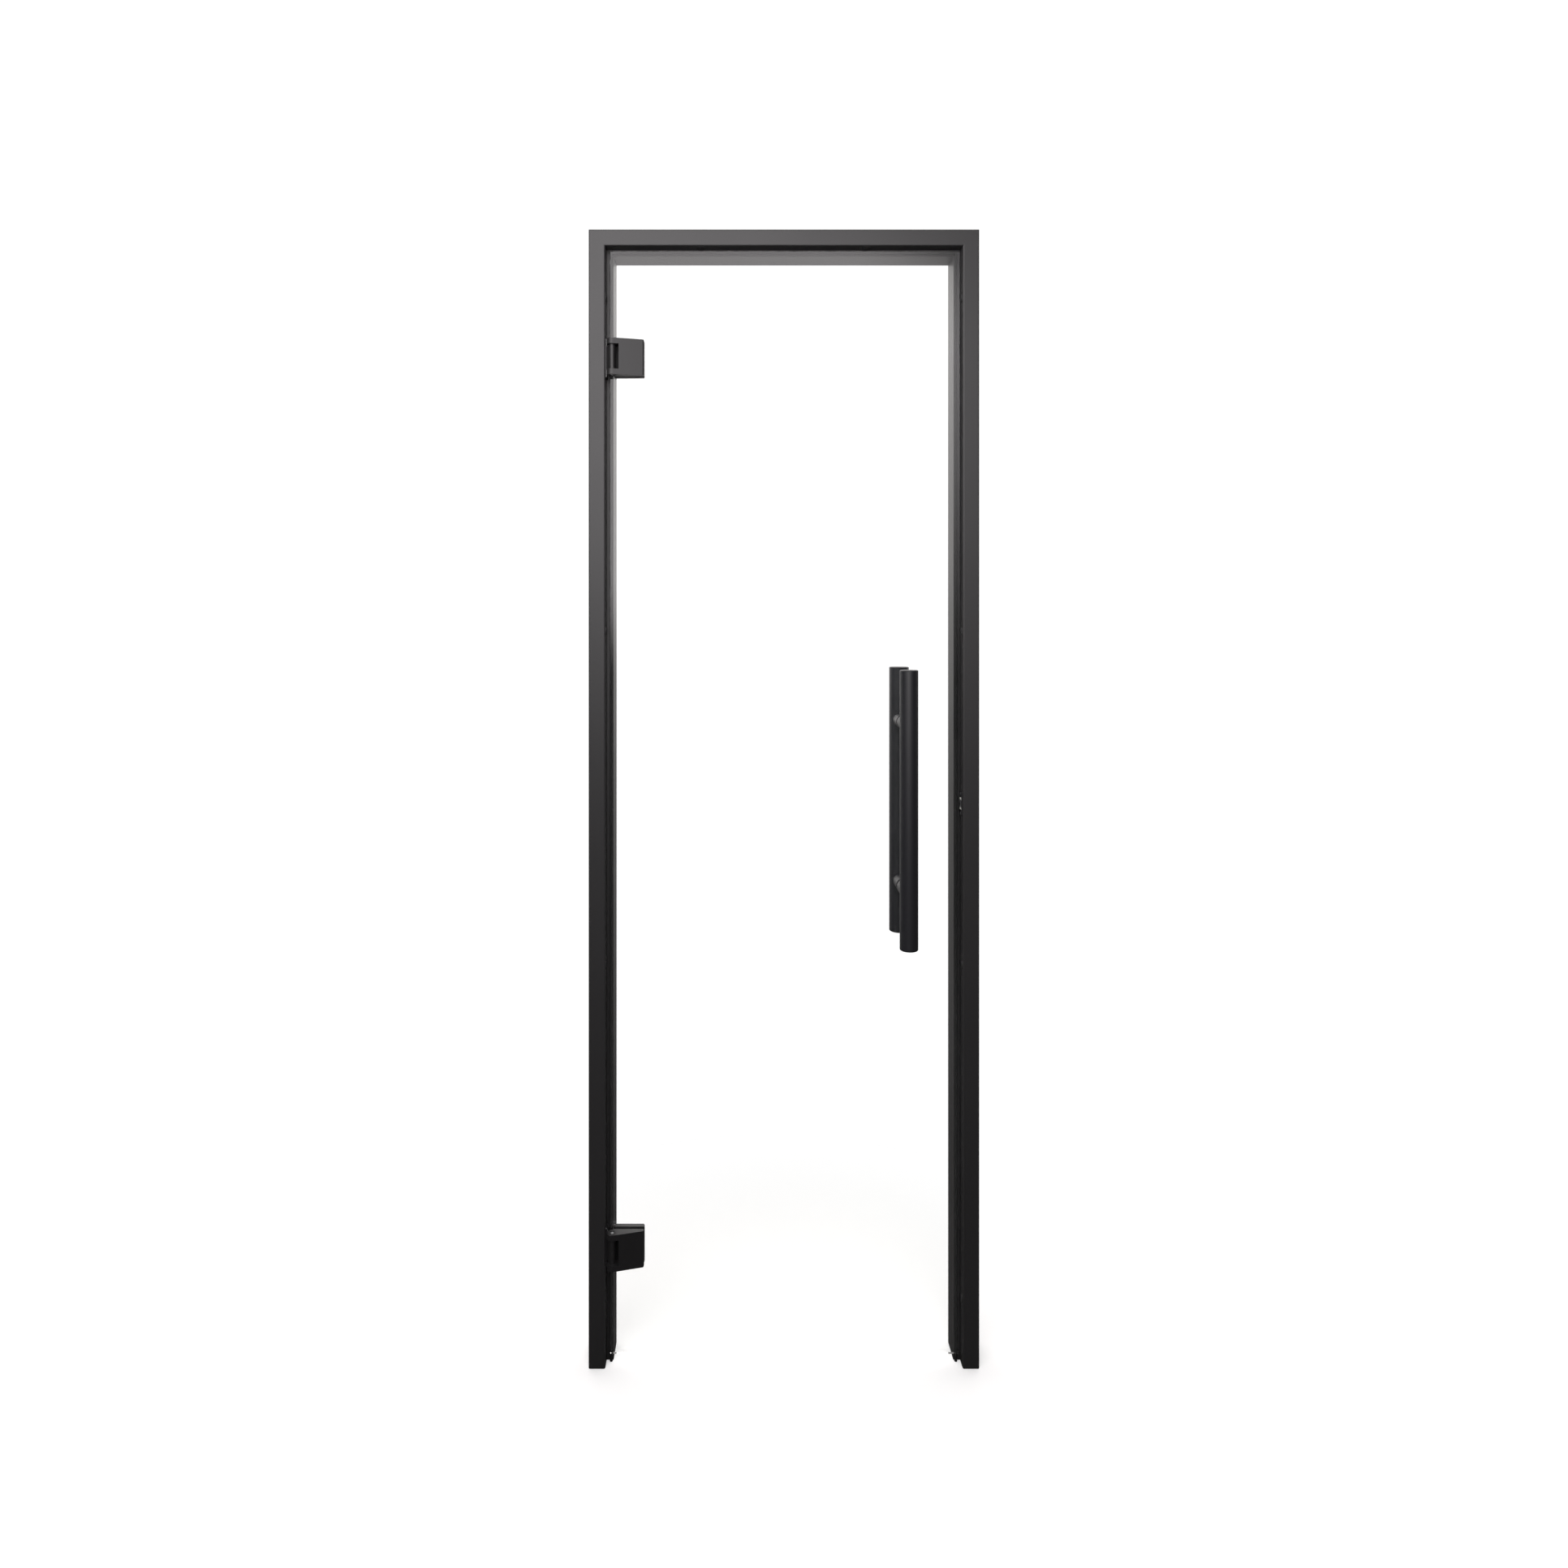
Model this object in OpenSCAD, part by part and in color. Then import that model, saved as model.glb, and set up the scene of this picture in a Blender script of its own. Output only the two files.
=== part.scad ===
// Hinged glass door in a three-sided aluminium frame, in millimetres.
// X runs across the doorway, Y from the front to the back, Z up.
// The origin is on the floor, in the middle of the doorway, in the middle plane of the glass.

/* [Frame] */
// Outside width of the frame
frame_w = 700; // [640:1:900]
// Outside height of the frame
frame_h = 2040; // [1900:1:2300]
// Depth of the frame from front to back
frame_d = 70; // [64:1:90]
// Width of the front face of a rail
face_w = 30; // [28:0.5:40]
// Depth of the rebate that the leaf closes into
rebate_d = 22; // [21:0.5:26]
// How far the stop stands in from the rebate wall
stop_w = 12.5; // [12:0.5:15]
// Wall of the hollow profile
frame_wall = 2; // [1.6:0.1:2.4]
// Rounding of the two edges of the front face
face_edge_r = 3; // [0.5:0.1:3.2]
// Rounding of the profile's other outer edges
frame_edge_r = 0.6; // [0.3:0.1:1.6]

/* [Fixings] */
// Diameter of the wall fixing holes
fixing_hole_d = 7; // [5:0.5:8]
// Diameter of the access holes in the rebate wall
access_hole_d = 13; // [11:0.5:14]
// Distance of the end fixings from the floor and from the top
fixing_inset = 120; // [90:1:140]
// Distance between the two fixings of the head
head_fixing_gap = 300; // [200:1:400]
// Length of each leg of a corner cleat
cleat_leg = 70; // [60:1:90]
// Thickness of a corner cleat
cleat_t = 14; // [10:1:16]

/* [Glass] */
// Thickness of the glass
glass_t = 8; // [6:1:10]
// Distance from the frame's front to the front of the glass
glass_setback = 8; // [7:0.5:9]
// Gap between the glass and the hinge jamb
hinge_gap = 8; // [7.5:0.5:9]
// Gap between the glass and the catch jamb
catch_gap = 4; // [3:0.5:5]
// Gap between the glass and the head
head_gap = 7; // [3:0.5:9]
// Gap between the glass and the floor
floor_gap = 21; // [8:1:25]
// Rounding of the glass corners
glass_corner_r = 2; // [1:0.5:4]

/* [Seals] */
// Width of the seal groove's mouth
groove_slot_w = 2.4; // [2:0.1:3]
// Width of the seal groove's undercut
groove_room_w = 5; // [4:0.1:5.4]
// Distance of the seal's middle from the inner edge of the stop
groove_inset = 4; // [3.8:0.1:4.5]
// Wall of the hollow bulb
seal_wall = 0.8; // [0.5:0.1:1.2]
// Room left between the bulb and the glass
seal_gap = 0.6; // [0.5:0.1:1]

/* [Hinges] */
// Height of a hinge clamp
hinge_h = 65; // [54:1:80]
// Distance of a hinge's middle from the end of the glass
hinge_inset = 193; // [150:1:300]
// How far the clamp reaches in from the edge of the glass
clamp_reach = 61; // [56:1:75]
// Distance of the hinge axis from the edge of the glass
pivot_inset = 5; // [4.5:0.5:6]
// Distance of the hinge axis in front of the middle of the glass
pivot_forward = 16; // [15:0.5:18]
// Radius of the clamp's lugs
lug_r = 9.5; // [8.5:0.1:9.5]
// Height of one lug
lug_h = 10; // [8:0.5:12]
// Thickness of the front clamp at its free end
clamp_tip_t = 7; // [6:0.5:10]
// Thickness of the back clamp
clamp_back_t = 8.5; // [6:0.5:10]
// Thickness of the rubber pads
pad_t = 1; // [0.5:0.1:2]
// Radius of the bracket's barrel
barrel_r = 6; // [5:0.1:6.5]
// Diameter of the hinge pin
pin_d = 6; // [5:0.1:7]
// Thickness of the bracket's plate
bracket_t = 2.5; // [2:0.1:2.8]
// How far the bracket's plate stands past each end of the clamp
bracket_margin = 3; // [2:0.5:10]
// Distance of the clamp screws from the edge of the glass
clamp_screw_inset = 37; // [32:0.5:42]
// Distance between the two clamp screws of a hinge
clamp_screw_gap = 36; // [28:1:40]
// Diameter of the holes in the glass for the clamp screws
clamp_glass_hole_d = 14; // [12:0.5:16]

/* [Catch] */
// Height of the catch's middle above the floor
catch_z = 1010; // [850:1:1150]
// Height of the catch's face plate
catch_plate_h = 44; // [42:1:60]
// Width of the catch's face plate
catch_plate_w = 16; // [15:0.5:18]
// Thickness of the face plate
catch_plate_t = 1.5; // [1:0.1:1.8]
// Radius of the roller
roller_r = 5; // [4:0.1:5.2]
// Height of the roller
roller_h = 14; // [10:0.5:16]
// Room between the roller and the edge of the glass
roller_gap = 0.8; // [0.7:0.1:1.5]
// Length of the catch's case
catch_case_l = 22; // [20:0.5:24]

/* [Handle] */
// Length of the handle bars
bar_l = 488; // [400:1:700]
// Diameter of the front bar
front_bar_d = 32; // [25:0.5:40]
// Diameter of the rear bar
rear_bar_d = 36; // [25:0.5:40]
// Wall of the bars
bar_wall = 2; // [1.5:0.1:3]
// Distance of the front bar's axis from the middle of the glass
front_bar_out = 57; // [55:0.5:80]
// Distance of the rear bar's axis from the middle of the glass
rear_bar_out = 55; // [55:0.5:80]
// Height of the handle's middle above the floor
handle_z = 1009; // [850:1:1150]
// Distance of the handle from the catch edge of the glass
handle_inset = 100; // [60:1:150]
// Distance between the handle's two posts
post_gap = 295; // [200:1:380]
// Diameter of the posts
post_d = 26; // [24:0.5:30]
// Thickness of the end caps
bar_cap_t = 3; // [2:0.5:5]
// Diameter of the rods through the glass
stud_d = 8; // [6:0.5:8]
// Diameter of the holes in the glass for the rods
handle_glass_hole_d = 14; // [12:0.5:16]

/* [Hidden] */
$fn = 64;
eps = 0.01;
// Margin by which a cut runs past the surface it opens
past = 1;
// Clearance of a screw, rod or sleeve in its hole
fit = 0.1;
// Running clearance of a hinge pin or axle
run_fit = 0.05;
// Chamfer at the end of a screw, a pin, a cap or a plug
end_chamfer = 0.5;
// Depth of a hexagon socket
socket_d = 2;
half_w = frame_w / 2;
rail_w = face_w + stop_w;
glass_front = -glass_t / 2;
glass_back = glass_t / 2;
front_y = glass_front - glass_setback;
stop_y = front_y + rebate_d;
back_y = front_y + frame_d;
rebate_x = half_w - face_w;
rebate_z = frame_h - face_w;
stop_x = half_w - rail_w;

// Wall fixings lie in the middle of the rebate
fixing_y = front_y + rebate_d / 2;
fixing_step = (frame_h - 2 * fixing_inset) / 3;
fixing_zs = [for (i = [0:3]) fixing_inset + i * fixing_step];
cap_flange_rim = 1.5;
cap_flange_r = access_hole_d / 2 + cap_flange_rim;
cap_flange_t = 1;
cap_plug_l = 6;
cap_plug_wall = 1.2;

// Corner cleats lie in the rear chamber against the outer walls
cleat_gap = 6;
cleat_y0 = stop_y + frame_wall + cleat_gap;
cleat_y1 = back_y - frame_wall;
cleat_screw_inset = 20;
cleat_screw_margin = 8;
cleat_screw_at = frame_wall + cleat_leg - cleat_screw_inset;
cleat_screw_ys = [cleat_y0 + cleat_screw_margin, cleat_y1 - cleat_screw_margin];
cleat_screw_head_r = 4;
cleat_screw_r = 2;
cleat_screw_l = 12;

// Seal groove: lip, undercut and the wall round it
groove_lip = 1.4;
groove_room_d = 2.4;
groove_wall = 1.2;
groove_u = rail_w - groove_inset;
groove_bottom = groove_lip + groove_room_d + groove_wall;
seal_slack = 0.1;
bulb_r = (stop_y - glass_back - seal_gap - seal_slack) / 2;
bulb_y = glass_back + seal_gap + bulb_r;
seal_foot_t = 1.6;
groove_z = frame_h - groove_u;
groove_x = half_w - groove_u;

// Glass outline
glass_x0 = -rebate_x + hinge_gap;
glass_x1 = rebate_x - catch_gap;
glass_z0 = floor_gap;
glass_z1 = rebate_z - head_gap;

// Hinge: pivot, clamp and bracket
hinge_zs = [glass_z0 + hinge_inset, glass_z1 - hinge_inset];
pivot_x = glass_x0 + pivot_inset;
pivot_y = -pivot_forward;
pin_r = pin_d / 2;
bush_wall = 1.5;
bush_flange_t = 1;
bush_flange_gap = 0.2;
bush_flange_rim = 2.5;
bush_r = pin_r + run_fit + bush_wall;
bush_flange_r = bush_r + bush_flange_rim;
hinge_slot_h = hinge_h - 2 * lug_h;
barrel_h = hinge_slot_h - 2 * (bush_flange_t + bush_flange_gap);
clamp_x1 = glass_x0 + clamp_reach;
clamp_slot_reach = 12.2;
clamp_slot_x1 = pivot_x + clamp_slot_reach;
clamp_y1 = glass_front - pad_t;
clamp_tip_y = clamp_y1 - clamp_tip_t;
clamp_chamfer = 2;
clamp_corner_r = 1.5;
clamp_tip_x = clamp_x1 - clamp_chamfer;
// The front face leaves the lug on a tangent to the tip
tip_reach = norm([clamp_tip_x - pivot_x, clamp_tip_y - pivot_y]);
tip_angle = atan2(clamp_tip_y - pivot_y, clamp_tip_x - pivot_x);
tangent_angle = tip_angle - acos(lug_r / tip_reach);
lug_steps = 24;
clamp_back_gap = 1.5;
clamp_back_x0 = -stop_x + clamp_back_gap;
clamp_back_y0 = glass_back + pad_t;
clamp_back_y1 = clamp_back_y0 + clamp_back_t;
clamp_screw_x = glass_x0 + clamp_screw_inset;
clamp_screw_r = 3;
clamp_screw_head_r = 6;
clamp_thread_l = 7;
clamp_screw_end_gap = 1;
clamp_screw_l = clamp_back_y1 - clamp_y1 + clamp_thread_l - clamp_screw_end_gap;
pad_margin = 1;
bracket_h = hinge_h + 2 * bracket_margin;
bracket_setback = 3.5;
bracket_stop_gap = 1;
bracket_y0 = front_y + bracket_setback;
bracket_y1 = stop_y - bracket_stop_gap;
bracket_corner_r = 2;
bracket_web_t = 7;
bracket_screw_offset = 2.5;
bracket_screw_inset = 9;
bracket_screw_y = (bracket_y0 + bracket_y1) / 2 + bracket_screw_offset;
bracket_screw_gap = bracket_h - 2 * bracket_screw_inset;
bracket_screw_r = 2.5;
bracket_screw_head_r = 4.7;
bracket_screw_l = 14;
backing_t = 4;
backing_margin = 5;
backing_gap = 1;
backing_h = bracket_h + 2 * backing_margin;
backing_d = rebate_d - frame_wall - 2 * backing_gap;

// Catch: the roller stands a set gap off the glass, in a sprung fork
roller_x = glass_x1 + roller_gap + roller_r;
axle_r = 1.5;
fork_gap = 0.3;
fork_arm_t = 3.2;
fork_half_h = roller_h / 2 + fork_gap + fork_arm_t;
fork_half_w = 5;
fork_nose = 4.2;
fork_room = 2;
fork_back = roller_r + fork_room;
fork_block_l = 4;
fork_tail_r = 2.5;
fork_tail_l = 4;
case_wall = 1.4;
case_gap = 0.3;
case_half_h = fork_half_h + case_gap + case_wall;
case_half_w = fork_half_w + case_gap + case_wall;
case_x0 = rebate_x;
case_x1 = rebate_x + catch_case_l;
window_half_h = fork_half_h + case_gap;
window_half_w = fork_half_w + case_gap;
pocket_gap = 0.2;
catch_screw_inset = 4.5;
catch_corner_r = 3;
catch_screw_gap = catch_plate_h - 2 * catch_screw_inset;
catch_screw_r = 1.5;
catch_screw_head_r = 2.6;
catch_screw_l = 9;
spring_x0 = roller_x + fork_back + fork_block_l;
spring_x1 = case_x1 - case_wall;
spring_wire_r = 0.4;
spring_r = 3.4;
spring_turns = 4;
spring_steps = 12;
spring_sides = 6;

// Handle: bars, posts and what holds them to the glass
handle_x = glass_x1 - handle_inset;
post_zs = [handle_z - post_gap / 2, handle_z + post_gap / 2];
post_r = post_d / 2;
gasket_t = 1;
gasket_rim = 0.5;
spigot_flange_t = 2;
spigot_r = 8;
spigot_l = 16;
post_y0 = glass_back + gasket_t + spigot_flange_t;
stud_end_gap = 2;
stud_reach = spigot_l - stud_end_gap;
bar_screw_r = 3;
bar_screw_head_r = 5;
bar_screw_head_h = 3;
bar_screw_gap = 0.5;
post_bore_l = spigot_l + bar_screw_head_h + bar_screw_gap;
bar_nut_r = 6;
bar_nut_t = 6;
grub_r = 2.5;
grub_l = post_r - spigot_r - fit;
grub_sunk = 0.5;
grub_angle = 215;
grub_y = post_y0 + spigot_l / 2;
bar_cap_chamfer = 1;
bar_cap_spigot_l = 12;

frame_black = "#2b2c2e";
hinge_black = "#262729";
bar_black = "#313236";
rubber_black = "#151515";
plastic_black = "#1d1d1e";
steel_grey = "#b9bcc0";
nylon_white = "#dcdcd6";
glass_clear = [0.82, 0.92, 0.9, 0.3];

// Points of an arc about c, from angle a0 to a1
function arc(c, r, a0, a1, n = 5) =
    [for (i = [0:n]) c + r * [cos(a0 + (a1 - a0) * i / n), sin(a0 + (a1 - a0) * i / n)]];

// Outline of a rectangle with rounded corners
function round_rect(x0, y0, x1, y1, r) = concat(
    arc([x0 + r, y0 + r], r, 180, 270),
    arc([x1 - r, y0 + r], r, 270, 360),
    arc([x1 - r, y1 - r], r, 0, 90),
    arc([x0 + r, y1 - r], r, 90, 180));

// Extrude an XZ outline from y0 to y1
module along_y(y0, y1) {
    translate([0, y1, 0]) rotate([90, 0, 0]) linear_extrude(y1 - y0) children();
}

// Extrude a YZ outline from x0 to x1
module along_x(x0, x1) {
    translate([x0, 0, 0]) rotate([90, 0, 90]) linear_extrude(x1 - x0) children();
}

// Turn a piece made along +Z so that it points along +X, -X, +Y or -Y
module to_px() {
    rotate([0, 90, 0]) children();
}
module to_nx() {
    rotate([0, -90, 0]) children();
}
module to_py() {
    rotate([-90, 0, 0]) children();
}
module to_ny() {
    rotate([90, 0, 0]) children();
}

// Countersunk screw along +Z with the top of its head at 0, and the hole that takes it
module csk_screw(head_r, shank_r, len) {
    difference() {
        rotate_extrude()
            polygon([[0, fit / 2], [head_r, fit / 2], [shank_r, head_r - shank_r + fit / 2],
                [shank_r, len - end_chamfer], [shank_r - end_chamfer, len], [0, len]]);
        translate([0, 0, -eps]) cylinder(r = shank_r * 0.72, h = (head_r - shank_r) * 1.2, $fn = 6);
    }
}
module csk_hole(head_r, shank_r, len) {
    rotate_extrude()
        polygon([[0, -past], [head_r + fit, -past], [head_r + fit, 0],
            [shank_r + fit, head_r - shank_r], [shank_r + fit, len], [0, len]]);
}

// Tube or washer along +Z
module ring(r_out, r_in, h) {
    difference() {
        cylinder(r = r_out, h = h);
        translate([0, 0, -past]) cylinder(r = r_in, h = h + 2 * past);
    }
}

// Cross-section of the frame: first axis from the outside in, second axis from front to back
module frame_profile() {
    difference() {
        polygon(concat(
            arc([face_edge_r, front_y + face_edge_r], face_edge_r, 180, 270),
            arc([face_w - face_edge_r, front_y + face_edge_r], face_edge_r, 270, 360),
            [[face_w, stop_y]],
            arc([rail_w - frame_edge_r, stop_y + frame_edge_r], frame_edge_r, -90, 0),
            arc([rail_w - frame_edge_r, back_y - frame_edge_r], frame_edge_r, 0, 90),
            arc([frame_edge_r, back_y - frame_edge_r], frame_edge_r, 90, 180)));
        translate([frame_wall, front_y + frame_wall])
            square([face_w - 2 * frame_wall, rebate_d - frame_wall]);
        difference() {
            translate([frame_wall, stop_y + frame_wall])
                square([rail_w - 2 * frame_wall, back_y - stop_y - 2 * frame_wall]);
            translate([groove_u - groove_room_w / 2 - groove_wall, stop_y])
                square([groove_room_w + 2 * groove_wall, groove_bottom]);
        }
        translate([groove_u - groove_slot_w / 2, stop_y - past])
            square([groove_slot_w, groove_lip + 2 * past]);
        translate([groove_u - groove_room_w / 2, stop_y + groove_lip])
            square([groove_room_w, groove_room_d]);
    }
}

// Cross-section of a seal: hollow bulb, neck and foot
module seal_profile() {
    translate([groove_u, 0]) difference() {
        union() {
            translate([0, bulb_y]) circle(r = bulb_r);
            translate([-groove_slot_w / 2 + seal_slack, bulb_y])
                square([groove_slot_w - 2 * seal_slack, stop_y + groove_lip - bulb_y + seal_slack + eps]);
            translate([-groove_room_w / 2 + seal_slack, stop_y + groove_lip + seal_slack])
                square([groove_room_w - 2 * seal_slack, seal_foot_t]);
        }
        translate([0, bulb_y]) circle(r = bulb_r - seal_wall);
    }
}

// Countersunk screws of the left corner, one pair down each leg of the cleat
module at_corner_screws() {
    for (y = cleat_screw_ys) {
        translate([-half_w, y, frame_h - cleat_screw_at]) to_px() children();
        translate([-half_w + cleat_screw_at, y, frame_h]) rotate([180, 0, 0]) children();
    }
}
module both_sides() {
    children();
    mirror([1, 0, 0]) children();
}

// Left jamb with its mitre, wall fixings and corner screw holes
module jamb() {
    difference() {
        translate([-half_w, 0, 0]) linear_extrude(frame_h) frame_profile();
        translate([-half_w, 0, frame_h]) along_y(front_y - past, back_y + past)
            polygon([[-past, past], [rail_w + past, -rail_w - past], [rail_w + past, past]]);
        for (z = fixing_zs) {
            translate([-half_w - past, fixing_y, z]) to_px()
                cylinder(d = fixing_hole_d, h = frame_wall + 2 * past);
            translate([-rebate_x - frame_wall - past, fixing_y, z]) to_px()
                cylinder(d = access_hole_d, h = frame_wall + 2 * past);
        }
        at_corner_screws() csk_hole(cleat_screw_head_r, cleat_screw_r, cleat_screw_l);
    }
}

module hinge_jamb() {
    color(frame_black) difference() {
        jamb();
        at_bracket_screws() cylinder(r = bracket_screw_r + fit, h = bracket_screw_l + past);
    }
}

module catch_jamb() {
    color(frame_black) difference() {
        mirror([1, 0, 0]) jamb();
        translate([0, 0, catch_z]) along_x(rebate_x - past, rebate_x + frame_wall + past)
            square([2 * (case_half_w + pocket_gap), 2 * (case_half_h + pocket_gap)], center = true);
        at_catch_screws() cylinder(r = catch_screw_r + fit, h = catch_screw_l + past);
    }
}

module head_rail() {
    color(frame_black) difference() {
        translate([-half_w, 0, frame_h]) to_px() linear_extrude(frame_w) frame_profile();
        both_sides() translate([-half_w, 0, frame_h]) along_y(front_y - past, back_y + past)
            polygon([[-past, past], [rail_w + past, -rail_w - past], [-past, -rail_w - past]]);
        for (x = [-head_fixing_gap / 2, head_fixing_gap / 2]) {
            translate([x, fixing_y, frame_h - frame_wall - past])
                cylinder(d = fixing_hole_d, h = frame_wall + 2 * past);
            translate([x, fixing_y, rebate_z - past])
                cylinder(d = access_hole_d, h = frame_wall + 2 * past);
        }
        both_sides() at_corner_screws() csk_hole(cleat_screw_head_r, cleat_screw_r, cleat_screw_l);
    }
}

module corner_cleats() {
    near = frame_wall;
    far = frame_wall + cleat_leg;
    inner = frame_wall + cleat_t;
    color("silver") both_sides() difference() {
        translate([-half_w, 0, frame_h]) along_y(cleat_y0, cleat_y1)
            polygon([[near, -near], [far, -near], [far, -inner],
                [inner, -inner], [inner, -far], [near, -far]]);
        at_corner_screws() cylinder(r = cleat_screw_r + fit, h = cleat_t + frame_wall + past);
    }
}

module corner_screws() {
    color(steel_grey) both_sides() at_corner_screws()
        csk_screw(cleat_screw_head_r, cleat_screw_r, cleat_screw_l);
}

module jamb_seal() {
    translate([-half_w, 0, 0]) linear_extrude(groove_z + groove_slot_w / 2 - seal_slack) seal_profile();
}

module hinge_jamb_seal() {
    color(rubber_black) jamb_seal();
}

module catch_jamb_seal() {
    color(rubber_black) mirror([1, 0, 0]) jamb_seal();
}

module head_seal() {
    seal_half_l = groove_x - max(bulb_r, groove_room_w / 2) - seal_slack;
    color(rubber_black) translate([-seal_half_l, 0, frame_h]) to_px()
        linear_extrude(2 * seal_half_l) seal_profile();
}

// Hollow plug along +Z whose flange lies under the surface at 0
module fixing_cap() {
    plug_r = access_hole_d / 2 - fit;
    difference() {
        union() {
            translate([0, 0, -cap_flange_t])
                cylinder(r1 = cap_flange_r - end_chamfer, r2 = cap_flange_r, h = cap_flange_t);
            cylinder(r = plug_r, h = cap_plug_l);
        }
        cylinder(r = plug_r - cap_plug_wall, h = cap_plug_l + past);
    }
}

module fixing_caps() {
    color(plastic_black) {
        both_sides() for (z = fixing_zs)
            translate([-rebate_x, fixing_y, z]) to_nx() fixing_cap();
        for (x = [-head_fixing_gap / 2, head_fixing_gap / 2])
            translate([x, fixing_y, rebate_z]) fixing_cap();
    }
}

// Screws of both hinge brackets, heads in the bracket plate
module at_bracket_screws() {
    for (hinge_z = hinge_zs, side = [-1, 1])
        translate([-rebate_x + bracket_t, bracket_screw_y, hinge_z + side * bracket_screw_gap / 2])
            to_nx() children();
}

// Plate on the rebate wall, web and barrel
module hinge_bracket(hinge_z) {
    plate_x1 = -rebate_x + bracket_t;
    difference() {
        union() {
            translate([0, 0, hinge_z]) along_x(-rebate_x, plate_x1)
                polygon(round_rect(bracket_y0, -bracket_h / 2,
                    bracket_y1, bracket_h / 2, bracket_corner_r));
            translate([0, 0, hinge_z - barrel_h / 2]) linear_extrude(barrel_h)
                polygon([[plate_x1 - past, bracket_y0], [plate_x1 - past, bracket_y0 + bracket_web_t],
                    [pivot_x, pivot_y + 0.9 * barrel_r], [pivot_x, pivot_y - 0.5 * barrel_r]]);
            translate([pivot_x, pivot_y, hinge_z - barrel_h / 2]) cylinder(r = barrel_r, h = barrel_h);
        }
        translate([pivot_x, pivot_y, hinge_z - barrel_h]) cylinder(r = pin_r + run_fit, h = 2 * barrel_h);
        at_bracket_screws() csk_hole(bracket_screw_head_r, bracket_screw_r, bracket_screw_l);
    }
}

module upper_hinge_bracket() {
    color(hinge_black) hinge_bracket(hinge_zs[1]);
}

module lower_hinge_bracket() {
    color(hinge_black) hinge_bracket(hinge_zs[0]);
}

module hinge_pin(hinge_z) {
    half_l = hinge_h / 2 - end_chamfer;
    translate([pivot_x, pivot_y, hinge_z]) rotate_extrude()
        polygon([[0, -half_l], [pin_r - end_chamfer, -half_l], [pin_r, end_chamfer - half_l],
            [pin_r, half_l - end_chamfer], [pin_r - end_chamfer, half_l], [0, half_l]]);
}

module upper_hinge_pin() {
    color(steel_grey) hinge_pin(hinge_zs[1]);
}

module lower_hinge_pin() {
    color(steel_grey) hinge_pin(hinge_zs[0]);
}

module hinge_backing_plates() {
    color(steel_grey) difference() {
        for (hinge_z = hinge_zs)
            translate([-rebate_x - frame_wall - backing_t, fixing_y - backing_d / 2,
                hinge_z - backing_h / 2])
                cube([backing_t, backing_d, backing_h]);
        at_bracket_screws() cylinder(r = bracket_screw_r + fit, h = bracket_screw_l + past);
    }
}

module hinge_bracket_screws() {
    color(steel_grey) at_bracket_screws() csk_screw(bracket_screw_head_r, bracket_screw_r, bracket_screw_l);
}

// Screws of the catch, heads in its face plate
module at_catch_screws() {
    for (side = [-1, 1])
        translate([rebate_x - catch_plate_t, 0, catch_z + side * catch_screw_gap / 2]) to_px() children();
}

// Open box behind the face plate
module catch_case() {
    color(steel_grey) translate([0, 0, catch_z]) difference() {
        along_x(case_x0, case_x1) square([2 * case_half_w, 2 * case_half_h], center = true);
        along_x(case_x0 - past, case_x1 - case_wall)
            square([2 * window_half_w, 2 * window_half_h], center = true);
    }
}

module catch_face_plate() {
    color(hinge_black) difference() {
        translate([0, 0, catch_z]) along_x(rebate_x - catch_plate_t, rebate_x) difference() {
            polygon(round_rect(-catch_plate_w / 2, -catch_plate_h / 2, catch_plate_w / 2, catch_plate_h / 2,
                catch_corner_r));
            square([2 * window_half_w, 2 * window_half_h], center = true);
        }
        at_catch_screws() csk_hole(catch_screw_head_r, catch_screw_r, catch_screw_l);
    }
}

module catch_screws() {
    color(steel_grey) at_catch_screws() csk_screw(catch_screw_head_r, catch_screw_r, catch_screw_l);
}

// Coil between the fork and the back of the case, swept as rings of points along a helix
module catch_spring() {
    rings = spring_turns * spring_steps;
    run = spring_x1 - spring_x0 - 2 * spring_wire_r;
    points = [for (i = [0:rings], k = [0:spring_sides - 1])
        let (turn = 360 * i / spring_steps, side = 360 * k / spring_sides,
            reach = spring_r + spring_wire_r * cos(side))
        [spring_x0 + spring_wire_r + run * i / rings + spring_wire_r * sin(side),
            reach * cos(turn), catch_z + reach * sin(turn)]];
    skin = [for (i = [0:rings - 1], k = [0:spring_sides - 1])
        let (here = i * spring_sides, next = here + spring_sides, k1 = (k + 1) % spring_sides)
        [here + k, next + k, next + k1, here + k1]];
    first = [for (k = [0:spring_sides - 1]) k];
    last = [for (k = [spring_sides - 1:-1:0]) rings * spring_sides + k];
    color(steel_grey) polyhedron(points, concat(skin, [first, last]));
}

// Fork that carries the roller, with a tail that guides the spring
module catch_plunger() {
    color(nylon_white) translate([roller_x, 0, catch_z]) difference() {
        union() {
            along_x(-fork_nose, fork_back + fork_block_l)
                square([2 * fork_half_w, 2 * fork_half_h], center = true);
            translate([fork_back + fork_block_l - eps, 0, 0]) to_px()
                cylinder(r = fork_tail_r, h = fork_tail_l);
        }
        along_x(-fork_nose - past, fork_back)
            square([2 * fork_half_w + 2 * past, roller_h + 2 * fork_gap], center = true);
        translate([0, 0, -fork_half_h - past])
            cylinder(r = axle_r + run_fit, h = 2 * fork_half_h + 2 * past);
    }
}

module catch_axle() {
    color(steel_grey) translate([roller_x, 0, catch_z - fork_half_h + fit])
        cylinder(r = axle_r, h = 2 * (fork_half_h - fit));
}

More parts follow.
